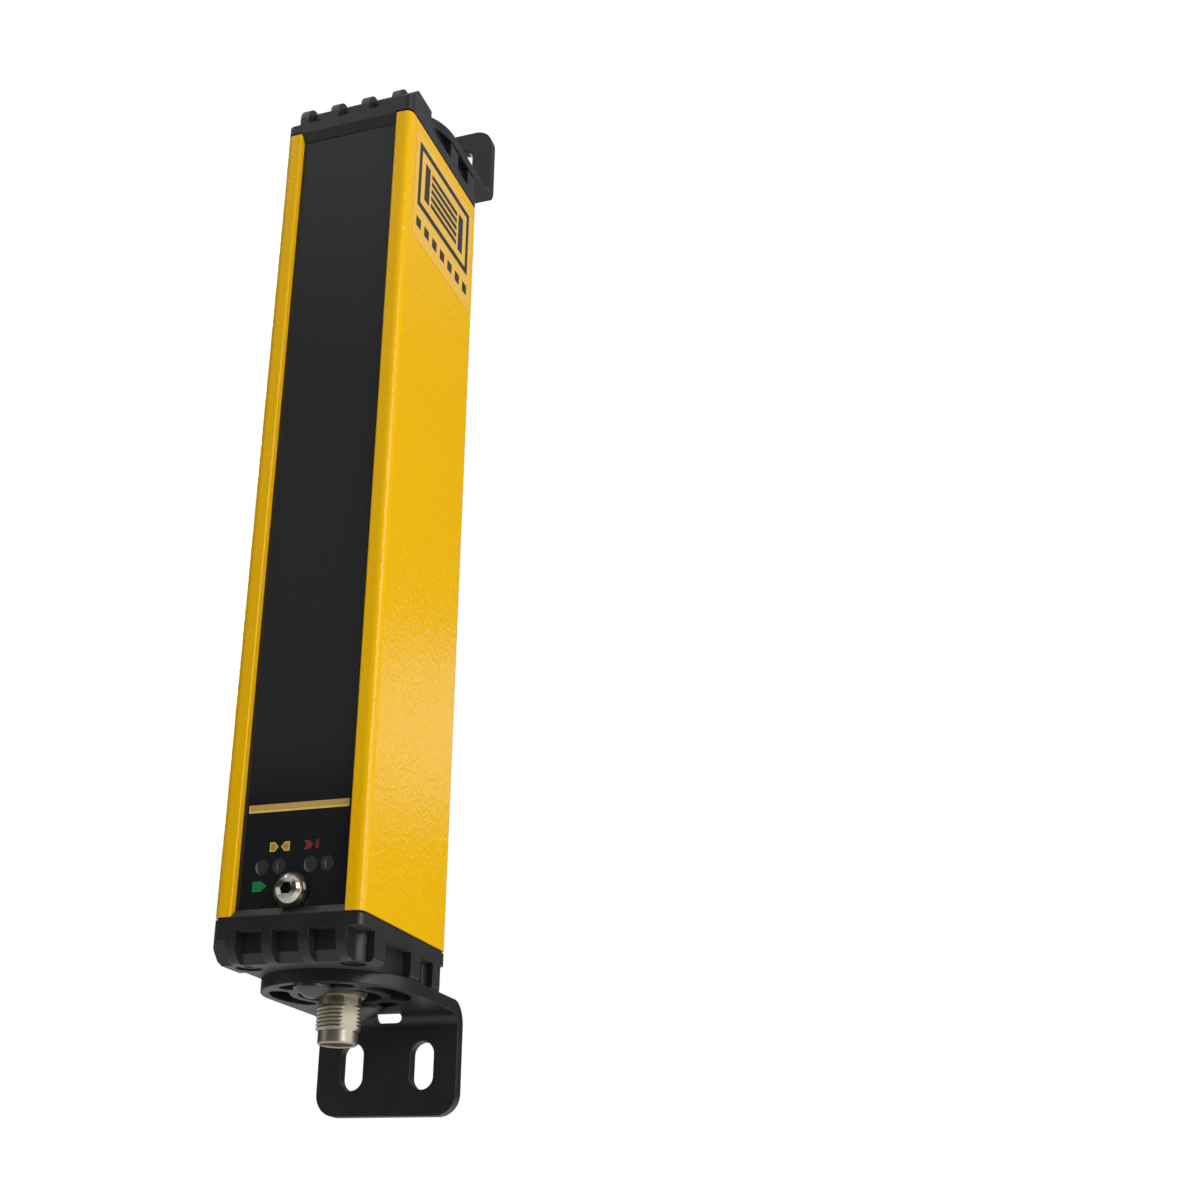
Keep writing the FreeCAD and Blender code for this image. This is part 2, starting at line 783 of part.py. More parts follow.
def build_connector():
    back = size("connector_back")
    nose = size("nose_end")
    thread = size("thread_radius")
    seal_top = floor_start
    flange_top = floor_start - size("connector_seal_thick")
    flange_low = flange_top - size("flange_thick")
    nut_low = size("cap_height")
    nut_high = nut_low + size("nut_height")
    ring_high = nut_high + size("ring_height")
    mouth_floor = nose - size("mouth_depth")

    body = new_body("connector_shell")
    side = new_sketch(body, "shell_side", "XZ_Plane")
    mouth = size("mouth_radius")
    edge = size("edge_break")
    outline(side, [(mouth, flange_low), (size("flange_radius"), flange_low),
                   (size("flange_radius"), flange_top), (thread, flange_top),
                   (thread, nut_high), (size("ring_radius"), nut_high),
                   (size("ring_radius"), ring_high), (size("neck_radius"), ring_high),
                   (size("neck_radius"), size("thread_start")),
                   (thread, size("thread_start") + edge), (thread, nose - edge),
                   (thread - edge, nose), (mouth + edge / 2, nose), (mouth, nose - edge / 2)])
    turned(body, side, "shell_turned")
    block(body, "milled_flat", size("flat_distance"), thread + 1, -thread, thread,
          size("thread_start"), nose + 1, cut=True)
    place_connector(body, size("flat_turn"))

    body = new_body("connector_seal")
    ring = new_sketch(body, "seal_ring", lift=flange_top)
    circle(ring, 0, 0, size("flange_radius"))
    circle(ring, 0, 0, thread + size("shell_hole_gap"))
    pad(body, ring, "seal_pad", seal_top - flange_top)
    place_connector(body)

    body = new_body("connector_nut")
    hexagon = new_sketch(body, "nut_hexagon", lift=nut_low)
    half = size("nut_width") / 2
    corner = size("nut_width") / root(as_size(3))
    outline(hexagon, [(corner, as_size(0)), (corner / 2, half), (-corner / 2, half),
                      (-corner, as_size(0)), (-corner / 2, -half), (corner / 2, -half)])
    circle(hexagon, 0, 0, thread)
    pad(body, hexagon, "nut_pad", size("nut_height"))
    place_connector(body)

    body = new_body("connector_insert")
    foot = flange_low - size("insert_foot")
    rod(body, "insert_core", 0, 0, flange_low, mouth_floor, mouth)
    rod(body, "insert_foot", 0, 0, foot, flange_low, size("flange_radius") - 1)
    key = size("key_width") / 2
    block(body, "insert_key", mouth - size("key_reach"), mouth - size("shell_hole_gap"),
          -key, key, mouth_floor - 1, nose - size("pin_tip_back"))
    board_high = foot
    board_low = board_high - size("board_thick")
    pin_low = board_low - size("pin_stub")
    pin_length = nose - size("pin_tip_back") - pin_low
    for number, (x, y) in enumerate(pin_places()):
        rod(body, "pin_hole_%d" % number, x, y, foot - 1, mouth_floor + 1,
            size("pin_radius"), cut=True)
    place_connector(body)

    model = new_body("pin_model")
    pin = new_sketch(model, "pin_side", "XZ_Plane")
    radius = size("pin_radius")
    tip = radius / 2
    outline(pin, [(as_size(0), as_size(0)), (radius, as_size(0)), (radius, pin_length - tip),
                  (radius - tip, pin_length), (as_size(0), pin_length)])
    turned(model, pin, "pin_turned")
    spots = [(x, y, pin_low) for x, y in pin_places()]
    group("connector_pins", model, spots, place_connector)

    body = new_body("connector_board")
    half_width_board = size("connector_board_width") / 2
    half_depth = size("connector_board_depth") / 2
    block(body, "board_plate", -half_width_board, half_width_board, -half_depth, half_depth,
          board_low, board_high)
    for number, (x, y) in enumerate(pin_places()):
        rod(body, "board_hole_%d" % number, x, y, board_low - 1, board_high + 1,
            size("pin_radius"), cut=True)
    place_connector(body)
    return board_low


def pin_places():
    """Four pins on a circle and one in the middle."""
    step = size("pin_circle") / root(as_size(2))
    return [(step, step), (-step, step), (-step, -step), (step, -step),
            (as_size(0), as_size(0))]


def place_connector(thing, turn=None):
    """Set a piece of the connector on the connector's axis in the row frame."""
    angle = 0 if turn is None else turn.value - 90
    spin = FreeCAD.Rotation(FreeCAD.Vector(0, 0, 1), angle)
    thing.Placement = FreeCAD.Placement(FreeCAD.Vector(), spin.multiply(FLIP))
    bind(thing, "Placement.Base.y", size("connector_back") - wall_face)
    bind(thing, "Placement.Base.z", size("wall_slot_height"))
    parts.append(thing)
    return thing


# Brackets

def bracket_screw_places():
    return [("front", size("connector_back") - size("arc_radius")),
            ("back", size("connector_back") + size("arc_radius"))]


def build_bracket(end):
    body = new_body(end + "_bracket")
    axis = size("connector_back")
    radius = size("plate_radius")
    thick = size("sheet_thick")
    bend = size("bend_radius")
    outer = bend + thick
    front = axis - radius
    stop = size("flange_end")

    side = new_sketch(body, end + "_bracket_side", "YZ_Plane")
    outline(side, [(front, plate_top), (wall_face - outer, plate_top, outer),
                   (wall_face, plate_top + outer), (wall_face, stop), (flange_face, stop),
                   (flange_face, plate_face + bend, -bend), (flange_face - bend, plate_face),
                   (front, plate_face)])
    pad(body, side, end + "_bracket_sheet", 2 * radius, midplane=True)

    nose = new_sketch(body, end + "_bracket_nose")
    past = radius + 1
    outline(nose, [(-past, front - 1), (past, front - 1), (past, axis), (radius, axis, -radius),
                   (as_size(0), front, -radius), (-radius, axis), (-past, axis)])
    pocket(body, nose, end + "_bracket_nose_cut", plate_face + 1, backwards=True)

    rod(body, end + "_bracket_bore", 0, axis, plate_top - 1, plate_face + 1,
        size("bracket_bore"), cut=True)

    arc = new_sketch(body, end + "_arc_slot", shift=axis)
    middle = size("arc_radius")
    half = size("arc_width") / 2
    angle = size("swivel_limit")
    outline(arc, [
        ((middle + half) * -sine(angle), -((middle + half) * cosine(angle)), middle + half),
        (as_size(0), -(middle + half), middle + half),
        ((middle + half) * sine(angle), -((middle + half) * cosine(angle)), half),
        ((middle * sine(angle)) + half * cosine(angle),
         half * sine(angle) - middle * cosine(angle), half),
        ((middle - half) * sine(angle), -((middle - half) * cosine(angle)),
         half - middle),
        (as_size(0), half - middle, half - middle),
        ((middle - half) * -sine(angle), -((middle - half) * cosine(angle)), half),
        (-(middle * sine(angle)) - half * cosine(angle),
         half * sine(angle) - middle * cosine(angle), half)])
    slot = pocket(body, arc, end + "_arc_slot_cut", plate_face + 1, backwards=True)
    ring = body.newObject("PartDesign::PolarPattern", end + "_arc_slots")
    ring.Originals = [slot]
    ring.Axis = (arc, ["N_Axis"])
    ring.Angle = 360
    ring.Occurrences = 4
    body.Tip = ring

    holes = new_sketch(body, end + "_wall_slots", "XZ_Plane", lift=-wall_face - 1)
    for sign in (-1, 1):
        obround(holes, sign * size("wall_slot_side"), size("wall_slot_height"),
                size("wall_slot_width"), size("wall_slot_length"))
    pocket(body, holes, end + "_wall_slots_cut", thick + 2, backwards=True)

    window = new_sketch(body, end + "_bend_window", "XZ_Plane", lift=-wall_face - 1)
    tall = size("bend_window_height")
    rounded(window, -size("bend_window_width") / 2, plate_top + size("bend_window_low"),
            size("bend_window_width") / 2, plate_top + size("bend_window_low") + tall,
            tall / 2 - 0.1)
    pocket(body, window, end + "_bend_window_cut", outer + 1, backwards=True)

    corner = size("flange_corner")
    corners = new_sketch(body, end + "_flange_corners", "XZ_Plane", lift=-wall_face - 1)
    for sign in (-1, 1):
        outline(corners, [(sign * radius, stop - corner, sign * corner),
                          (sign * (radius - corner), stop), (sign * (radius - corner), stop + 1),
                          (sign * past, stop + 1), (sign * past, stop - corner)])
    pocket(body, corners, end + "_flange_corners_cut", thick + 2, backwards=True)
    return place_at_end(body, end)


def build_bracket_screw():
    """One washer-head screw, its seat at Z = 0 and its shank downwards."""
    body = new_body("bracket_screw_model")
    shank = size("bracket_screw_radius")
    length = size("bracket_screw_length")
    rim = size("bracket_rim_radius")
    step = size("bracket_rim_height")
    head = size("bracket_head_radius")
    dome = size("bracket_head_height")
    dome_radius = (head * head + (dome - step) * (dome - step)) / (2 * (dome - step))
    side = new_sketch(body, "bracket_screw_side", "XZ_Plane")
    outline(side, [(as_size(0), -length), (shank, -length), (shank, as_size(0)),
                   (rim, as_size(0)), (rim, step), (head, step, dome_radius),
                   (as_size(0), dome)])
    turned(body, side, "bracket_screw_turned")
    return body


def build_bracket_screws(end, model):
    spots = [(as_size(0), y, plate_face) for _, y in bracket_screw_places()]
    return group(end + "_bracket_screws", model, spots, place_at_end, end)


# Boards, optics and indicators

def build_boards(connector_board_low):
    """Two long boards; the rear one has a tail that stands on the connector's board."""
    for label in ("optical_board", "logic_board"):
        body = new_body(label)
        front = size(label + "_front")
        back = front + size("board_thick")
        block(body, label + "_plate", -board_half, board_half, front, back,
              size("boards_low"), boards_high)
        if label == "logic_board":
            half_tail = size("board_tail_width") / 2
            block(body, label + "_tail", -half_tail, half_tail, front, back,
                  -connector_board_low, size("boards_low") + 1)
        place_in_bar(body)


def beam_heights():
    count = int(SIZES["beam_count"])
    return [size("first_beam") + size("beam_pitch") * index for index in range(count)]


def guide_places():
    return [-size("guide_outer"), -size("guide_inner"), size("guide_inner"),
            size("guide_outer")]


def build_carrier():
    body = new_body("lens_carrier")
    half = size("carrier_width") / 2
    front = size("carrier_front")
    back = size("optical_board_front")
    lens = size("lens_radius")
    foot_half = size("guide_outer") + size("guide_radius") + size("carrier_wall")
    foot_high = size("guide_height") + size("guide_radius") + size("carrier_wall")
    block(body, "carrier_rail", -half, half, front, back, foot_high - 0.5,
          boards_high - size("carrier_wall"))
    foot_front = size("channel_front") + size("channel_radius") + size("carrier_wall")
    block(body, "carrier_foot", -foot_half, foot_half, foot_front, back,
          size("carrier_low"), foot_high)
    for number, x in enumerate(guide_places()):
        bore_back(body, "guide_hole_%d" % number, x, size("guide_height"),
                  foot_front - 1, back + 1, size("guide_radius"))
    room = half - size("carrier_wall")
    step = lens + size("carrier_wall")
    heights = beam_heights()
    for number, height in enumerate(heights[:-1]):
        block(body, "carrier_pocket_%d" % number, -room, room, front + size("carrier_wall"),
              back + 1, height + step, heights[number + 1] - step, cut=True)
    opening = size("beam_opening") / 2
    for number, height in enumerate(heights):
        bore_back(body, "lens_seat_%d" % number, 0, height, front - 1,
                  front + size("lens_edge") + size("lens_crown"), lens)
        block(body, "beam_opening_%d" % number, -opening, opening, front, back + 1,
              height - opening, height + opening, cut=True)
    return place_in_bar(body)


def build_lenses():
    """Plano-convex lenses, crown to the front, seated in the carrier."""
    model = new_body("lens_model")
    radius = size("lens_radius")
    edge = size("lens_edge")
    crown = size("lens_crown")
    bulge = (radius * radius + crown * crown) / (2 * crown)
    side = new_sketch(model, "lens_side", "XZ_Plane")
    outline(side, [(as_size(0), as_size(0)), (radius, as_size(0)), (radius, edge, bulge),
                   (as_size(0), edge + crown)])
    turned(model, side, "lens_turned")
    model.Placement = FreeCAD.Placement(
        FreeCAD.Vector(), FreeCAD.Rotation(FreeCAD.Vector(1, 0, 0), 90))
    seat = size("carrier_front") + size("lens_edge") + size("lens_crown")
    spots = [(as_size(0), seat, height) for height in beam_heights()]
    return group_turned("lenses", model, spots)


def group_turned(label, model, spots):
    """A group in the bar frame whose model points to the front."""
    bundle = group(label, model, spots, place_in_bar)
    forward = FreeCAD.Rotation(FreeCAD.Vector(1, 0, 0), 90)
    for link in bundle.Links:
        link.Placement = FreeCAD.Placement(link.Placement.Base, forward)
    return bundle


def build_chip_model(label, width, depth, height):
    """A block on a board: its middle at X = 0, Z = 0 and its foot at Y = 0, towards -Y."""
    body = new_body(label)
    block(body, label + "_block", -width / 2, width / 2, -depth, 0, -height / 2, height / 2)
    return body


def build_small_parts():
    side = size("diode_side")
    diode = build_chip_model("diode_model", side, size("diode_height"), side)
    board = size("optical_board_front")
    group("photodiodes", diode, [(as_size(0), board, height) for height in beam_heights()],
          place_in_bar)

    led = build_chip_model("led_model", size("led_side"), size("led_depth"), size("led_side"))
    group("indicator_leds", led,
          [(x, board, size("guide_height")) for x in guide_places()], place_in_bar)

    guide = new_body("guide_model")
    bore_back(guide, "guide_rod", 0, 0, window_back - size("optical_board_front"),
              -size("led_depth"), size("guide_radius"), cut=False)
    group("light_guides", guide,
          [(x, board, size("guide_height")) for x in guide_places()], place_in_bar)

    chip_side = size("chip_side")
    chip = build_chip_model("chip_model", chip_side, size("chip_height"), chip_side)
    logic = size("logic_board_front")
    middle = size("bar_length") / 2
    group("logic_chips", chip,
          [(as_size(0), logic, middle + size("chip_pitch") * step) for step in (-1, 0, 1)],
          place_in_bar)

    link = new_body("board_link")
    half_link = size("link_width") / 2
    block(link, "link_block", -half_link, half_link, board + size("board_thick"), logic,
          size("first_beam") - size("link_height"), size("first_beam"))
    place_in_bar(link)


# Window screw, its washer and its nut

def build_window_fixing():
    """The fixing lies along Y; its model stands on the window's face, head towards -Y."""
    washer = size("window_washer_thick")
    seat = size("lip_depth") - washer
    height = size("window_screw_height")
    shank = size("window_screw_radius")
    forward = FreeCAD.Rotation(FreeCAD.Vector(1, 0, 0), 90)

    def stand_at(thing, y):
        thing.Placement = FreeCAD.Placement(FreeCAD.Vector(), forward)
        bind(thing, "Placement.Base.y", y - wall_face)
        bind(thing, "Placement.Base.z", height + size("wall_slot_height"))
        parts.append(thing)

    body = new_body("window_screw")
    head = size("window_head_radius")
    rise = size("window_head_height")
    edge = size("edge_break")
    length = size("window_screw_length")
    top = size("window_head_flat")
    across = head - top
    drop = rise - edge
    bulge = (across * across + drop * drop) / (2 * across) * size("window_head_fullness")
    side = new_sketch(body, "window_screw_side", "XZ_Plane")
    outline(side, [(as_size(0), -length), (shank - edge, -length), (shank, edge - length),
                   (shank, as_size(0)), (head, as_size(0)), (head, edge, bulge),
                   (top, rise), (as_size(0), rise)])
    turned(body, side, "window_screw_turned")
    socket(body, "window_socket", size("window_hex"), rise, size("window_hex_depth"))
    stand_at(body, seat)

    body = new_body("window_screw_seal")
    ring = new_sketch(body, "washer_ring")
    circle(ring, 0, 0, size("window_washer_radius"))
    circle(ring, 0, 0, shank)
    pad(body, ring, "washer_pad", washer)
    stand_at(body, size("lip_depth"))

    body = new_body("window_nut")
    nut = new_sketch(body, "nut_ring")
    circle(nut, 0, 0, size("window_nut_radius"))
    circle(nut, 0, 0, shank)
    pad(body, nut, "window_nut_pad", size("window_nut_length"), backwards=True)
    stand_at(body, window_back)


def build_label():
    body = new_body("side_label")
    film = new_sketch(body, "label_film", "YZ_Plane", lift=half_width)
    rounded(film, size("label_front"), size("label_low"), size("label_back"),
            size("label_high"), size("label_corner"))
    pad(body, film, "label_pad", size("label_thick"))
    return place_in_bar(body)


# The whole part

build_profile()
build_window()
build_window_seal("left", -1)
build_window_seal("right", 1)
cap_screw = build_cap_screw()
bracket_screw = build_bracket_screw()
for end in (LOWER, UPPER):
    build_cap(end)
    build_gasket(end)
    build_cap_screws(end, cap_screw)
    build_bracket(end)
    build_bracket_screws(end, bracket_screw)
board_foot = build_connector()
build_boards(board_foot)
build_carrier()
build_lenses()
build_small_parts()
build_window_fixing()
build_label()
doc.recompute()

# Nothing is written unless every object is sound and every cut has taken something away

for thing in doc.Objects:
    if "Invalid" in thing.State or "Error" in thing.State:
        raise RuntimeError("%s failed: %s" % (thing.Name, thing.State))
    if thing.TypeId.startswith(("PartDesign::Pocket", "PartDesign::Subtractive")):
        before = thing.BaseFeature.Shape.Volume
        if thing.Shape.Volume > before - 1e-6:
            raise RuntimeError("%s cuts nothing" % thing.Name)
for part in parts:
    if part.Shape.isNull() or not part.Shape.isValid():
        raise RuntimeError("%s has no sound shape" % part.Label)

os.makedirs("parts", exist_ok=True)
for part in parts:
    part.Shape.exportStep(os.path.join("parts", part.Label + ".step"))
    print(part.Label, len(part.Shape.Solids), round(part.Shape.Volume, 1))
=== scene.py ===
import math

import bmesh
import bpy
from mathutils import Matrix, Vector


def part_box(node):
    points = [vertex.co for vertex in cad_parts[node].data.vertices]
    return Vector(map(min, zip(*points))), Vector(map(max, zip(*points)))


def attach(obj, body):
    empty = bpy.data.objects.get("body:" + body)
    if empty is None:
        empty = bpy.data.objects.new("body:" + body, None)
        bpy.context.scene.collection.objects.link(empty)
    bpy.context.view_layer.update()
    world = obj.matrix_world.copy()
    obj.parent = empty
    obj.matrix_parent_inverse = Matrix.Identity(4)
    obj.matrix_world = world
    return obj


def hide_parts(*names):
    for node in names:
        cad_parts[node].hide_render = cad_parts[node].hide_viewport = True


# Looks of a safety light curtain receiver. Lengths are in metres. Outlines of the prints and the
# section of the connector shell are in millimetres.

MM = 0.001
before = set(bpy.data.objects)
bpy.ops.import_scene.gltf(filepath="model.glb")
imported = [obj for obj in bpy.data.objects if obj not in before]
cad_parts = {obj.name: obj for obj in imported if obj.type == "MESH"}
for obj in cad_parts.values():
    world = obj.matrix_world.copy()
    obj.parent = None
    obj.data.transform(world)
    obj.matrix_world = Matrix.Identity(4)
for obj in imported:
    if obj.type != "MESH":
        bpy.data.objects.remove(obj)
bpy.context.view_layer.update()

# Places taken from the solids

BAR_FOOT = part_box("housing_profile")[0].z
WINDOW_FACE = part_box("front_window")[0].y
LABEL_LOW, LABEL_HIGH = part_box("side_label")
SHELL_LOW, SHELL_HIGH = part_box("connector_shell")
SCREW_LOW, SCREW_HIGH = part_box("window_screw")
SCREW_MIDDLE = (SCREW_LOW + SCREW_HIGH) / 2


# Materials

def srgb(red, green, blue):
    """A colour given as display values 0 to 255, as linear RGBA."""
    def linear(value):
        value /= 255
        if value <= 0.04045:
            return value / 12.92
        return ((value + 0.055) / 1.055) ** 2.4
    return (linear(red), linear(green), linear(blue), 1.0)


class Surface:
    """A Principled material with helpers that hang procedural detail on it."""

    def __init__(self, name, colour, roughness, metallic=0.0, specular=0.5):
        self.material = bpy.data.materials.new(name)
        self.material.use_nodes = True
        self.material.diffuse_color = colour
        self.tree = self.material.node_tree
        self.shader = self.tree.nodes["Principled BSDF"]
        self.colour = colour
        self.roughness = roughness
        self.put("Base Color", colour)
        self.put("Roughness", roughness)
        self.put("Metallic", metallic)
        self.put("Specular IOR Level", specular)
        self.place = self.node("ShaderNodeTexCoord").outputs["Object"]
        self.normal = None

    def node(self, kind):
        return self.tree.nodes.new(kind)

    def put(self, socket, value):
        self.shader.inputs[socket].default_value = value

    def link(self, source, target):
        self.tree.links.new(source, target)

    def worked(self, kind, operation, values):
        """A math node fed with sockets and plain values."""
        node = self.node(kind)
        node.operation = operation
        for target, value in zip(node.inputs, values):
            if isinstance(value, bpy.types.NodeSocket):
                self.link(value, target)
            else:
                target.default_value = value
        return node

    def number_math(self, operation, *values):
        return self.worked("ShaderNodeMath", operation, values).outputs["Value"]

    def vector_math(self, operation, *values, result="Vector"):
        return self.worked("ShaderNodeVectorMath", operation, values).outputs[result]

    def noise(self, scale, detail=2.0, rough=0.5, stretch=None):
        """A noise value with cells of about 1 / scale metres, stretched along an axis if asked."""
        place = self.place
        if stretch:
            mapping = self.node("ShaderNodeMapping")
            mapping.inputs["Scale"].default_value = stretch
            self.link(place, mapping.inputs["Vector"])
            place = mapping.outputs["Vector"]
        noise = self.node("ShaderNodeTexNoise")
        noise.inputs["Scale"].default_value = scale
        noise.inputs["Detail"].default_value = detail
        noise.inputs["Roughness"].default_value = rough
        self.link(place, noise.inputs["Vector"])
        return noise.outputs["Fac"]

    def creases(self, scale):
        """Fine crossing ridges: a noise folded at its middle."""
        noise = self.noise(scale, detail=1.0, rough=0.6)
        folded = self.number_math("ABSOLUTE", self.number_math("SUBTRACT", noise, 0.5))
        return self.spread(folded, 1.0, 0.0, from_low=0.0, from_high=0.08)

    def spread(self, value, low, high, from_low=0.3, from_high=0.7):
        """A value mapped to a range."""
        ramp = self.node("ShaderNodeMapRange")
        for socket, number in (("From Min", from_low), ("From Max", from_high),
                               ("To Min", low), ("To Max", high)):
            ramp.inputs[socket].default_value = number
        self.link(value, ramp.inputs["Value"])
        return ramp.outputs["Result"]

    def tint(self, value, other):
        """Shift the base colour towards another one where the value is high."""
        mix = self.node("ShaderNodeMix")
        mix.data_type = "RGBA"
        mix.inputs["A"].default_value = self.colour
        mix.inputs["B"].default_value = other
        self.link(value, mix.inputs["Factor"])
        before = self.shader.inputs["Base Color"].links
        if before:
            self.link(before[0].from_socket, mix.inputs["A"])
        self.link(mix.outputs["Result"], self.shader.inputs["Base Color"])

    def mottle(self, scale, most, other, detail=2.0):
        """Patches of another colour, mixed in by a share of most where they are strongest."""
        self.tint(self.spread(self.noise(scale, detail), 0.0, most), other)

    def vary_roughness(self, scale, amount, stretch=None):
        value = self.noise(scale, detail=3.0, stretch=stretch)
        result = self.spread(value, self.roughness - amount, self.roughness + amount)
        self.link(result, self.shader.inputs["Roughness"])

    def set_normal(self, normal):
        self.normal = normal
        self.link(normal, self.shader.inputs["Normal"])

    def soft_edges(self, radius):
        """Round every edge a little in the shading, before any bump is added."""
        bevel = self.node("ShaderNodeBevel")
        bevel.samples = 4
        bevel.inputs["Radius"].default_value = radius
        self.set_normal(bevel.outputs["Normal"])

    def bump(self, value, strength, distance):
        """One more bump on top of what the surface has."""
        bump = self.node("ShaderNodeBump")
        bump.inputs["Strength"].default_value = strength
        bump.inputs["Distance"].default_value = distance
        self.link(value, bump.inputs["Height"])
        if self.normal:
            self.link(self.normal, bump.inputs["Normal"])
        self.set_normal(bump.outputs["Normal"])

    def grain(self, scale, strength, distance, detail=2.0, stretch=None):
        """A noise as one more bump."""
        self.bump(self.noise(scale, detail, stretch=stretch), strength, distance)

    def domed(self, middle, lean):
        """Lean the shading away from an axis along Y, by lean for each metre off it."""
        away = self.vector_math("MULTIPLY_ADD", self.place, (lean, 0.0, lean),
                                (-lean * middle.x, 0.0, -lean * middle.z))
        leaning = self.vector_math("ADD", self.normal, away)
        self.set_normal(self.vector_math("NORMALIZE", leaning))


def powder_coat():
    """Yellow powder coat with an orange-peel skin."""
    paint = Surface("yellow_powder_coat", srgb(239, 184, 2), roughness=0.17, specular=0.22)
    paint.soft_edges(0.25 * MM)
    paint.mottle(18, 0.10, srgb(226, 168, 0))
    paint.vary_roughness(260, 0.05)
    paint.grain(400, strength=0.14, distance=0.2 * MM)
    paint.bump(paint.creases(300), strength=0.3, distance=0.12 * MM)
    paint.grain(2300, strength=0.04, distance=0.05 * MM, detail=1.0)
    return paint.material


def window_plastic():
    """Dark tinted window, smooth, with the faint haze of an extruded sheet."""
    plastic = Surface("window_plastic", srgb(27, 28, 29), roughness=0.11)
    plastic.soft_edges(0.15 * MM)
    plastic.mottle(12, 0.4, srgb(26, 29, 34))
    plastic.vary_roughness(40, 0.02, stretch=(1, 1, 0.1))
    plastic.grain(60, strength=0.04, distance=0.1 * MM, stretch=(1, 1, 0.2))
    return plastic.material


LIFT_GAIN = 1.5
LIFT_BASE = 0.004


def lifted(colour):
    """A slightly lighter colour."""
    return tuple(min(1.0, value * LIFT_GAIN + LIFT_BASE) for value in colour[:3]) + (1.0,)


def moulded_plastic(name, colour, roughness, cells=1500, sheen=0.0):
    """Glass-filled plastic with a fine spark-eroded skin."""
    plastic = Surface(name, colour, roughness, specular=0.45)
    plastic.put("Sheen Weight", sheen)
    plastic.put("Sheen Roughness", 0.35)
    plastic.soft_edges(0.3 * MM)
    plastic.mottle(70, 0.5, lifted(colour), detail=3.0)
    plastic.vary_roughness(180, 0.06)
    plastic.grain(cells, strength=0.22, distance=0.06 * MM)
    return plastic.material


def bracket_coat():
    """Satin black coat on folded sheet."""
    coat = Surface("bracket_coat", srgb(23, 23, 24), roughness=0.4)
    coat.soft_edges(0.6 * MM)
    coat.mottle(35, 0.5, srgb(29, 29, 30), detail=3.0)
    coat.vary_roughness(120, 0.05)
    coat.grain(900, strength=0.18, distance=0.08 * MM, detail=3.0)
    return coat.material


def turned_metal(name, colour, roughness, other):
    """Plated metal with the fine rings that a lathe leaves round a vertical axis."""
    metal = Surface(name, colour, roughness, metallic=1.0)
    metal.soft_edges(0.12 * MM)
    metal.mottle(160, 0.8, other, detail=3.0)
    metal.vary_roughness(300, 0.07, stretch=(0.3, 0.3, 3))
    metal.grain(2600, strength=0.10, distance=0.03 * MM, detail=1.0, stretch=(0.02, 0.02, 1))
    return metal.material


# The socket of the screw, where shade is painted: its radius, and the planes where the painted
# shade starts and is darkest

SCREW_LEAN = 130
SOCKET_REACH = 1.8 * MM
SOCKET_BLEND = 0.05 * MM
SOCKET_SHADE_START = SCREW_LOW.y + 0.15 * MM
SOCKET_SHADE = SCREW_LOW.y + 0.45 * MM


def polished_steel():
    """Stainless screw head, polished, with faint stains and painted shade in its socket."""
    steel = Surface("polished_steel", srgb(212, 208, 200), roughness=0.12, metallic=1.0)
    steel.soft_edges(0.12 * MM)
    steel.domed(SCREW_MIDDLE, SCREW_LEAN)
    steel.mottle(500, 0.6, srgb(160, 152, 138), detail=3.0)
    place = steel.node("ShaderNodeSeparateXYZ")
    steel.link(steel.place, place.inputs["Vector"])
    painted_shade_depth = steel.spread(place.outputs["Y"], 0.0, 1.0, SOCKET_SHADE_START, SOCKET_SHADE)
    off_axis = steel.vector_math("DISTANCE",
                                 steel.vector_math("MULTIPLY", steel.place, (1.0, 0.0, 1.0)),
                                 (SCREW_MIDDLE.x, 0.0, SCREW_MIDDLE.z), result="Value")
    near = steel.spread(off_axis, 1.0, 0.0, SOCKET_REACH, SOCKET_REACH + SOCKET_BLEND)
    # Painted shade: the socket's colour darkens from its mouth inwards, near the screw's axis.
    steel.tint(steel.number_math("MULTIPLY", painted_shade_depth, near), srgb(72, 68, 64))
    steel.vary_roughness(700, 0.04)
    steel.grain(1800, strength=0.04, distance=0.03 * MM)
    return steel.material


def rubber():
    """Matt black rubber."""
    seal = Surface("seal_rubber", srgb(22, 22, 22), roughness=0.75, specular=0.3)
    seal.mottle(300, 0.6, srgb(34, 34, 34))
    seal.grain(2500, strength=0.2, distance=0.05 * MM)
    return seal.material


def board_mask():
    """Green solder mask over the weave of the board."""
    mask = Surface("solder_mask", srgb(14, 82, 48), roughness=0.35)
    weave = mask.node("ShaderNodeTexWave")
    weave.inputs["Scale"].default_value = 900
    mask.link(mask.place, weave.inputs["Vector"])
    mask.mottle(220, 0.7, srgb(20, 104, 60))
    mask.bump(weave.outputs["Fac"], strength=0.08, distance=0.02 * MM)
    return mask.material


def clear_resin(name, colour):
    """Clear moulded plastic, a little hazy."""
    resin = Surface(name, colour, roughness=0.08, specular=0.6)
    resin.put("Transmission Weight", 0.6)
    resin.put("IOR", 1.49)
    resin.mottle(400, 0.3, srgb(190, 200, 200))
    resin.grain(800, strength=0.03, distance=0.02 * MM, detail=1.0)
    return resin.material


def print_ink(name, colour, other):
    """Screen-printed ink with small differences in cover."""
    ink = Surface(name, colour, roughness=0.45, specular=0.4)
    ink.mottle(1500, 0.6, other, detail=3.0)
    ink.grain(3000, strength=0.1, distance=0.02 * MM)
    return ink.material


def film():
    """Clear film of the label over the yellow paint."""
    skin = Surface("label_film", srgb(238, 188, 78), roughness=0.26, specular=0.3)
    skin.mottle(30, 0.15, srgb(228, 176, 62))
    skin.vary_roughness(120, 0.04)
    skin.grain(300, strength=0.10, distance=0.05 * MM)
    return skin.material


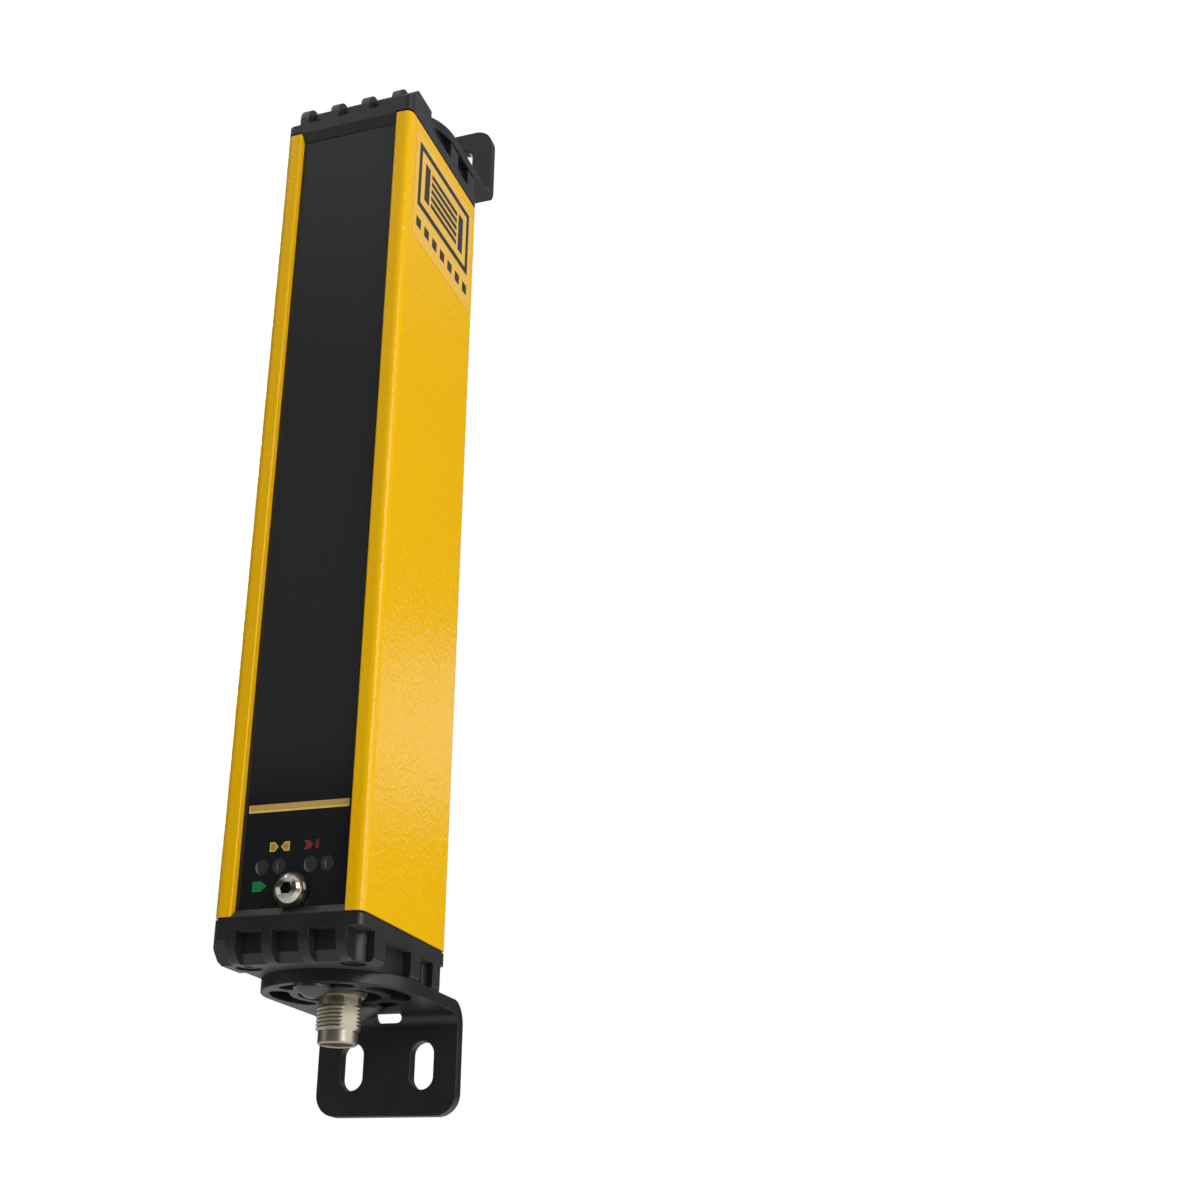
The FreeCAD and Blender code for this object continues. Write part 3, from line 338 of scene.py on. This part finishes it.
def indicator_skin(name, colour, other):
    """Frosted end of a light guide seen through the dark window; also used for the painted
    highlight on it.
    """
    skin = Surface(name, colour, roughness=0.4, specular=0.4)
    skin.mottle(600, 0.8, other)
    skin.grain(2000, strength=0.1, distance=0.02 * MM)
    return skin.material


BLACK_CAP = moulded_plastic("cap_plastic", srgb(17, 17, 18), 0.42, sheen=0.16)
SEAL = rubber()
BOARD = board_mask()
CHIP = moulded_plastic("chip_plastic", srgb(30, 30, 30), 0.5, cells=3000)
CLEAR = clear_resin("clear_plastic", srgb(225, 232, 232))
NICKEL = turned_metal("connector_nickel", srgb(184, 176, 158), 0.36, srgb(152, 144, 128))
DARK_STEEL = turned_metal("dark_steel", srgb(98, 98, 99), 0.38, srgb(76, 76, 78))
BRACKET = bracket_coat()

FINISH = {
    "housing_profile": powder_coat(),
    "front_window": window_plastic(),
    "window_seal_left": SEAL,
    "window_seal_right": SEAL,
    "lower_end_cap": BLACK_CAP,
    "upper_end_cap": BLACK_CAP,
    "lower_cap_gasket": SEAL,
    "upper_cap_gasket": SEAL,
    "lower_cap_screws": DARK_STEEL,
    "upper_cap_screws": DARK_STEEL,
    "lower_bracket": BRACKET,
    "upper_bracket": BRACKET,
    "lower_bracket_screws": DARK_STEEL,
    "upper_bracket_screws": DARK_STEEL,
    "connector_seal": SEAL,
    "connector_shell": NICKEL,
    "connector_nut": turned_metal("nut_steel", srgb(92, 90, 86), 0.4, srgb(70, 68, 66)),
    "connector_insert": moulded_plastic("insert_plastic", srgb(24, 24, 25), 0.5),
    "connector_pins": turned_metal("contact_gold", srgb(222, 176, 88), 0.25,
                                   srgb(196, 146, 70)),
    "connector_board": BOARD,
    "optical_board": BOARD,
    "logic_board": BOARD,
    "logic_chips": CHIP,
    "board_link": CHIP,
    "photodiodes": CHIP,
    "indicator_leds": clear_resin("led_resin", srgb(230, 230, 220)),
    "light_guides": CLEAR,
    "lens_carrier": moulded_plastic("carrier_plastic", srgb(28, 28, 30), 0.55),
    "lenses": CLEAR,
    "window_screw": polished_steel(),
    "window_screw_seal": SEAL,
    "window_nut": turned_metal("nut_brass", srgb(206, 160, 84), 0.3, srgb(176, 132, 64)),
    "side_label": film(),
}

SOLID_SMOOTH = math.radians(28)
THREAD_SMOOTH = math.radians(40)


def smooth(mesh, angle):
    """Shade a mesh smooth, apart from edges where its faces meet at more than an angle."""
    mesh.polygons.foreach_set("use_smooth", [True] * len(mesh.polygons))
    mesh.set_sharp_from_angle(angle=angle)


for node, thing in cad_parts.items():
    thing.data.materials.clear()
    thing.data.materials.append(FINISH[node])
    smooth(thing.data, SOLID_SMOOTH)


# Helpers for new pieces

def piece_from(name, build, material, smooth_below=None):
    """A new piece on the bar from a function that fills a bmesh."""
    mesh = bpy.data.meshes.new(name)
    work = bmesh.new()
    build(work)
    bmesh.ops.recalc_face_normals(work, faces=work.faces)
    work.to_mesh(mesh)
    work.free()
    mesh.materials.append(material)
    if smooth_below is not None:
        smooth(mesh, smooth_below)
    thing = bpy.data.objects.new(name, mesh)
    bpy.context.scene.collection.objects.link(thing)
    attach(thing, "bar")
    return thing


def wall(work, low, high):
    """A closed band of faces between two rings of points."""
    count = len(low)
    for step in range(count):
        other = (step + 1) % count
        work.faces.new((low[step], low[other], high[other], high[step]))


def plate(work, outline, place, thickness):
    """A thin plate: an outline of (u, v) points set in space by place(u, v, w)."""
    low = [work.verts.new(place(u, v, 0.0)) for u, v in outline]
    high = [work.verts.new(place(u, v, thickness)) for u, v in outline]
    work.faces.new(list(reversed(low)))
    work.faces.new(high)
    wall(work, low, high)


def on_window(u, v, w):
    """A point u, v millimetres from the middle of the bar's foot, w in front of the window."""
    return Vector((u * MM, WINDOW_FACE - w * MM, BAR_FOOT + v * MM))


def on_label(u, v, w):
    """A point u, v millimetres from the label's lower front corner, w proud of its face."""
    return Vector((LABEL_HIGH.x + w * MM, LABEL_LOW.y + u * MM, LABEL_LOW.z + v * MM))


# Outlines, in millimetres. A flag's point takes a share of its length, and its tip moves in by
# more than the inset of its sides.

OVAL_STEPS = 40
ARC_STEPS = 16
SICKLE_TIP = 0.02
POINT_SHARE = 0.42
TIP_INSET = 1.3


def box_outline(low_u, low_v, high_u, high_v):
    return [(low_u, low_v), (high_u, low_v), (high_u, high_v), (low_u, high_v)]


def oval_point(u, v, radius_u, radius_v, angle):
    return (u + radius_u * math.cos(angle), v + radius_v * math.sin(angle))


def oval_outline(u, v, radius_u, radius_v):
    turn = 2 * math.pi / OVAL_STEPS
    return [oval_point(u, v, radius_u, radius_v, turn * step) for step in range(OVAL_STEPS)]


def sickle_outline(u, v, radius_u, radius_v, start, end, depth):
    """A sickle along an oval's rim between two angles in degrees, depth wide at its middle."""
    rim, inner = [], []
    for step in range(ARC_STEPS + 1):
        share = step / ARC_STEPS
        angle = math.radians(start + (end - start) * share)
        across = depth * math.sin(math.pi * share) + SICKLE_TIP
        rim.append(oval_point(u, v, radius_u, radius_v, angle))
        inner.append(oval_point(u, v, radius_u - across, radius_v - across, angle))
    return rim + inner[::-1]


def half_disc(u, v, radius_u, radius_v, notch):
    """The right half of an oval with a notch in its straight left side."""
    angles = [math.radians(-90 + 180 * step / ARC_STEPS) for step in range(ARC_STEPS + 1)]
    return [oval_point(u, v, radius_u, radius_v, angle) for angle in angles] + [(u + notch, v)]


def flag(low_u, low_v, high_u, high_v, towards_right=True, inset=0.0):
    """A flag shape with one pointed end, drawn smaller by an inset."""
    middle = (low_v + high_v) / 2
    point = (high_u - low_u) * POINT_SHARE
    near, far, way = (low_u, high_u, 1) if towards_right else (high_u, low_u, -1)
    low, high = low_v + inset, high_v - inset
    back = near + way * inset
    shoulder = far - way * point
    tip = far - way * inset * TIP_INSET
    return [(back, low), (shoulder, low), (tip, middle), (shoulder, high), (back, high)]


# Print on the window

INK = 0.03
GOLD = print_ink("gold_ink", srgb(202, 162, 86), srgb(186, 148, 76))
GOLD_RIM = print_ink("gold_rim_ink", srgb(228, 204, 104), srgb(212, 186, 88))
FLAG_BROWN = print_ink("flag_brown_ink", srgb(184, 134, 58), srgb(168, 120, 48))
RED = print_ink("red_ink", srgb(130, 40, 52), srgb(108, 32, 42))
DULL_RED = print_ink("dull_red_ink", srgb(106, 32, 42), srgb(88, 26, 34))
GREEN = print_ink("green_ink", srgb(4, 124, 60), srgb(4, 110, 52))
GREEN_RIM = print_ink("green_rim_ink", srgb(16, 150, 76), srgb(10, 134, 66))

RIM = 0.3
LINE = (-14.4, 27.4, 14.4, 29.5)
LINE_FACE = (-14.1, 27.95, 14.1, 29.5)
LEFT_FLAG = (-7.4, 16.8, -4.95, 19.25)
RIGHT_FLAG = (-4.2, 16.8, -1.75, 19.25)
STATE_DISC = {"u": 2.35, "v": 18.05, "radius_u": 2.5, "radius_v": 1.3, "notch": 0.75}
STATE_BAR = (5.6, 16.95, 6.6, 19.2)
POWER_FLAG = (-11.5, 6.6, -7.5, 9.15)


def printed(name, outlines, material, layers=1):
    """Plates of ink on the window, one or two layers thick."""
    def build(work):
        for outline in outlines:
            plate(work, outline, on_window, layers * INK)
    return piece_from(name, build, material)


printed("print_line_rim", [box_outline(*LINE)], GOLD_RIM)
printed("print_line", [box_outline(*LINE_FACE)], GOLD, 2)
printed("print_state_gold_rim", [flag(*LEFT_FLAG), flag(*RIGHT_FLAG, towards_right=False)],
        GOLD_RIM)
printed("print_state_gold", [flag(*LEFT_FLAG, inset=RIM),
                             flag(*RIGHT_FLAG, towards_right=False, inset=RIM)],
        FLAG_BROWN, 2)
printed("print_state_red", [half_disc(**STATE_DISC)], RED)
printed("print_state_bar", [box_outline(*STATE_BAR)], DULL_RED)
printed("print_power_rim", [flag(*POWER_FLAG)], GREEN_RIM)
printed("print_power", [flag(*POWER_FLAG, inset=RIM)], GREEN, 2)

# Four indicator windows in two pairs, each with a painted highlight: a bright sickle on the rim of
# the left one of each pair and further in on the right one.

INDICATOR_SPOTS = (-9.22, -4.38, 4.58, 9.26)
INDICATOR_HEIGHT = 12.9
INDICATOR_RADII = (1.85, 2.05)
RIM_SICKLE = {"start": 130, "end": 265, "depth": 0.55}
INNER_SHIFT = 0.9
INNER_RADII = (1.6, 1.75)
INNER_SICKLE = {"start": 130, "end": 235, "depth": 0.45}
INDICATOR_SKIN = indicator_skin("indicator_skin", srgb(46, 46, 47), srgb(38, 38, 40))
# Painted highlight: the bright sickle on each indicator window.
INDICATOR_PAINTED_HIGHLIGHT = indicator_skin("indicator_painted_highlight", srgb(112, 112, 108), srgb(80, 80, 78))

windows, edges = [], []
for number, spot in enumerate(INDICATOR_SPOTS):
    windows.append(oval_outline(spot, INDICATOR_HEIGHT, *INDICATOR_RADII))
    if number % 2 == 0:
        edges.append(sickle_outline(spot, INDICATOR_HEIGHT, *INDICATOR_RADII, **RIM_SICKLE))
    else:
        edges.append(sickle_outline(spot + INNER_SHIFT, INDICATOR_HEIGHT, *INNER_RADII,
                                    **INNER_SICKLE))

printed("indicator_windows", windows, INDICATOR_SKIN)
printed("indicator_edges", edges, INDICATOR_PAINTED_HIGHLIGHT, 2)


# Threaded connector shell in place of the plain one. Heights run outwards from the bar's foot,
# and the collar's edges are sheer steps.

SHELL_AXIS = (SHELL_LOW + SHELL_HIGH) / 2
FLANGE_LOW, FLANGE_HIGH, FLANGE_RADIUS = 6.2, 7.6, 8.0
COLLAR_LOW, COLLAR_HIGH, COLLAR_RADIUS = 14.2, 15.0, 6.5
COLLAR_EDGE = 0.001
NECK_START, NECK_RADIUS = COLLAR_HIGH + 0.4, 5.6
THREAD_LOW, THREAD_HIGH, THREAD_RADIUS = 17.4, 23.9, 6.0
THREAD_DEPTH, THREAD_PITCH, THREAD_RUN_OUT = 0.42, 1.0, 0.35
FLANK_SLOPE, CREST_FLAT = 1.25, 0.1
NOSE, NOSE_RADIUS, NOSE_ROUND = 27.4, 5.25, 0.45
MOUTH_FLOOR, MOUTH_RADIUS, MOUTH_CHAMFER = 18.8, 4.4, 0.3
FLAT_DISTANCE, FLAT_TURN = 5.15, math.radians(-32.0)
SHELL_STEPS = 120
RING_GAP = 0.1


def thread_depth(angle, height):
    """How far the thread lies below its crest, from 0 to 1."""
    phase = (height / THREAD_PITCH + angle / (2 * math.pi)) % 1.0
    return min(1.0, max(0.0, FLANK_SLOPE * (1 - abs(2 * phase - 1)) - CREST_FLAT))


def shell_radius(angle, height):
    """Outer radius of the shell."""
    if height < COLLAR_HIGH:
        return COLLAR_RADIUS if height > COLLAR_LOW else THREAD_RADIUS
    radius = NECK_RADIUS if height < THREAD_LOW else NOSE_RADIUS
    inside = min(height - THREAD_LOW, THREAD_HIGH - height)
    if inside > 0:
        rise = min(1.0, inside / THREAD_RUN_OUT)
        radius += rise * (THREAD_RADIUS - radius - THREAD_DEPTH * thread_depth(angle, height))
    past = height - (NOSE - NOSE_ROUND)
    if past > 0:
        radius -= past ** 2 / NOSE_ROUND
    away = math.cos(angle - FLAT_TURN)
    if away > 0 and height > NECK_START:
        radius = min(radius, FLAT_DISTANCE / away)
    return radius


def threaded_shell(work):
    angles = [2 * math.pi / SHELL_STEPS * step for step in range(SHELL_STEPS)]

    def ring(height, radius=None):
        points = []
        for angle in angles:
            reach = radius or shell_radius(angle, height)
            points.append(work.verts.new((SHELL_AXIS.x + reach * math.cos(angle) * MM,
                                          SHELL_AXIS.y + reach * math.sin(angle) * MM,
                                          BAR_FOOT - height * MM)))
        return points

    rings = [ring(FLANGE_LOW, MOUTH_RADIUS), ring(FLANGE_LOW, FLANGE_RADIUS),
             ring(FLANGE_HIGH, FLANGE_RADIUS)]
    outside = [FLANGE_HIGH, COLLAR_LOW, COLLAR_LOW + COLLAR_EDGE, COLLAR_HIGH - COLLAR_EDGE,
               COLLAR_HIGH]
    for number in range(round((NOSE - NECK_START) / RING_GAP)):
        outside.append(NECK_START + number * RING_GAP)
    rings += [ring(height) for height in outside + [NOSE]]
    rings += [ring(NOSE, MOUTH_RADIUS + MOUTH_CHAMFER), ring(NOSE - MOUTH_CHAMFER, MOUTH_RADIUS),
              ring(MOUTH_FLOOR, MOUTH_RADIUS)]
    for one, two in zip(rings, rings[1:] + rings[:1]):
        wall(work, one, two)


shell = piece_from("connector_thread", threaded_shell, NICKEL,
                   THREAD_SMOOTH)
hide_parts("connector_shell")


# Motif on the label: two posts with beams between them in a frame, and a row of squares

LABEL_INK = print_ink("label_ink", srgb(49, 54, 58), srgb(40, 44, 46))
LABEL_MARGIN = 2.6
FRAME_LINE = 2.0
FRAME_FOOT = 12.0
FRAME_INSET = 4.8
POST_WIDTH = 3.6
BEAM_COUNT = 5
BEAM_WIDTH = 1.6
BEAM_GAP = 1.4
SQUARE_COUNT = 7
SQUARE_SIDE = 3.4
SQUARE_FOOT = 4.6


def label_motif(work):
    def bar(*corners):
        plate(work, box_outline(*corners), on_label, INK)

    left = LABEL_MARGIN
    right = (LABEL_HIGH.y - LABEL_LOW.y) / MM - LABEL_MARGIN
    top = (LABEL_HIGH.z - LABEL_LOW.z) / MM - LABEL_MARGIN
    bar(left, top - FRAME_LINE, right, top)
    bar(left, FRAME_FOOT, right, FRAME_FOOT + FRAME_LINE)
    bar(left, FRAME_FOOT + FRAME_LINE, left + FRAME_LINE, top - FRAME_LINE)
    bar(right - FRAME_LINE, FRAME_FOOT + FRAME_LINE, right, top - FRAME_LINE)

    low, high = FRAME_FOOT + FRAME_INSET, top - FRAME_INSET
    near, far = left + FRAME_INSET, right - FRAME_INSET
    bar(near, low, near + POST_WIDTH, high)
    bar(far - POST_WIDTH, low, far, high)
    step = (high - low) / BEAM_COUNT
    for number in range(BEAM_COUNT):
        middle = low + (number + 0.5) * step
        bar(near + POST_WIDTH + BEAM_GAP, middle - BEAM_WIDTH / 2,
            far - POST_WIDTH - BEAM_GAP, middle + BEAM_WIDTH / 2)

    pitch = (right - left - SQUARE_SIDE) / (SQUARE_COUNT - 1)
    for number in range(SQUARE_COUNT):
        start = left + number * pitch
        bar(start, SQUARE_FOOT, start + SQUARE_SIDE, SQUARE_FOOT + SQUARE_SIDE)


piece_from("label_print", label_motif, LABEL_INK)


# Floor, light and camera

FLOOR_REACH = 6.0
FLOOR_HEIGHT = -0.42
SKY_LEVELS = ((-1.0, 0.30), (-0.1, 0.20), (0.10, 0.05), (0.52, 0.07), (0.64, 0.42), (1.0, 0.85))
SKY_BLUE = 1.02

# Name, place, target, width, height and power of each light

MIDDLE = (0, -0.04, 0.13)
FOOT = (0, -0.04, 0.02)
LIGHTS = (
    ("main", (1.2, -0.65, 0.6), MIDDLE, 0.8, 0.8, 12.4),
    ("side_fill", (1.1, 0.2, 0.1), MIDDLE, 0.7, 0.7, 2.5),
    ("side_glint", (0.42, 0.84, 0.41), MIDDLE, 0.5, 0.14, 0.2),
    ("window_card", (-0.70, -1.39, 1.02), (-0.70, 0, 1.02), 1.1, 1.0, 0.8),
    ("back_fill", (-1.0, 1.15, 0.9), MIDDLE, 0.9, 0.9, 12),
    ("left_card", (-1.2, -0.75, 0.15), FOOT, 0.6, 0.5, 0.7),
    ("screw_softbox", (-0.9, -0.7, 1.5), MIDDLE, 0.5, 0.5, 3),
)

CAMERA_PLACE = (0.20005, -0.44161, -0.06343)
CAMERA_AZIMUTH = math.radians(21.277)
CAMERA_ELEVATION = math.radians(-23.038)
CAMERA_ROLL = math.radians(1.796)
CAMERA_SENSOR = 36.0
CAMERA_LENS = 50.693
CAMERA_SHIFT = 0.0833
CAMERA_NEAR = 0.01
CAMERA_FAR = 50


def add_floor():
    """A pale floor far below."""
    mesh = bpy.data.meshes.new("floor")
    work = bmesh.new()
    bmesh.ops.create_grid(work, x_segments=1, y_segments=1, size=FLOOR_REACH)
    work.to_mesh(mesh)
    work.free()
    paper = Surface("floor_paper", srgb(232, 232, 230), roughness=0.9, specular=0.1)
    paper.mottle(3, 0.5, srgb(226, 226, 224))
    mesh.materials.append(paper.material)
    floor = bpy.data.objects.new("floor", mesh)
    floor.location = (0, 0, FLOOR_HEIGHT)
    bpy.context.scene.collection.objects.link(floor)


def add_world():
    """A white backdrop, with a grey sky behind it that gives the light and is brightest above."""
    world = bpy.data.worlds.new("studio")
    bpy.context.scene.world = world
    world.use_nodes = True
    nodes, link = world.node_tree.nodes, world.node_tree.links.new
    backdrop = nodes["Background"]
    backdrop.inputs["Color"].default_value = (1, 1, 1, 1)
    backdrop.inputs["Strength"].default_value = 1.0

    where = nodes.new("ShaderNodeTexCoord")
    split = nodes.new("ShaderNodeSeparateXYZ")
    link(where.outputs["Generated"], split.inputs["Vector"])
    shift = nodes.new("ShaderNodeMapRange")
    shift.inputs["From Min"].default_value = -1.0
    shift.inputs["From Max"].default_value = 1.0
    link(split.outputs["Z"], shift.inputs["Value"])
    greys = nodes.new("ShaderNodeValToRGB")
    while len(greys.color_ramp.elements) < len(SKY_LEVELS):
        greys.color_ramp.elements.new(0.5)
    for stop, (height, grey) in zip(greys.color_ramp.elements, SKY_LEVELS):
        stop.position = (height + 1) / 2
        stop.color = (grey, grey, grey * SKY_BLUE, 1)
    link(shift.outputs["Result"], greys.inputs["Fac"])
    sky = nodes.new("ShaderNodeBackground")
    sky.inputs["Strength"].default_value = 1.0
    link(greys.outputs["Color"], sky.inputs["Color"])

    path = nodes.new("ShaderNodeLightPath")
    mix = nodes.new("ShaderNodeMixShader")
    link(path.outputs["Is Camera Ray"], mix.inputs["Fac"])
    link(sky.outputs["Background"], mix.inputs[1])
    link(backdrop.outputs["Background"], mix.inputs[2])
    link(mix.outputs["Shader"], nodes["World Output"].inputs["Surface"])


def add_light(name, place, target, width, height, power):
    data = bpy.data.lights.new(name, "AREA")
    data.shape = "RECTANGLE"
    data.size = width
    data.size_y = height
    data.energy = power
    light = bpy.data.objects.new(name, data)
    light.location = place
    aim = Vector(target) - Vector(place)
    light.rotation_euler = aim.to_track_quat("-Z", "Y").to_euler()
    bpy.context.scene.collection.objects.link(light)


def add_camera():
    """A view from the right and from below, looking up at the bar."""
    back = Vector((math.sin(CAMERA_AZIMUTH) * math.cos(CAMERA_ELEVATION),
                   -math.cos(CAMERA_AZIMUTH) * math.cos(CAMERA_ELEVATION),
                   math.sin(CAMERA_ELEVATION)))
    level = (-back).cross(Vector((0, 0, 1))).normalized()
    above = back.cross(level)
    right = level * math.cos(CAMERA_ROLL) + above * math.sin(CAMERA_ROLL)
    top = back.cross(right)
    data = bpy.data.cameras.new("camera")
    data.sensor_width = CAMERA_SENSOR
    data.lens = CAMERA_LENS
    data.shift_x = CAMERA_SHIFT
    data.clip_start = CAMERA_NEAR
    data.clip_end = CAMERA_FAR
    camera = bpy.data.objects.new("camera", data)
    turn = Matrix((right, top, back)).transposed().to_4x4()
    camera.matrix_world = Matrix.Translation(CAMERA_PLACE) @ turn
    bpy.context.scene.collection.objects.link(camera)
    bpy.context.scene.camera = camera


add_floor()
add_world()
for light in LIGHTS:
    add_light(*light)
add_camera()
bpy.context.scene.view_settings.view_transform = "Standard"
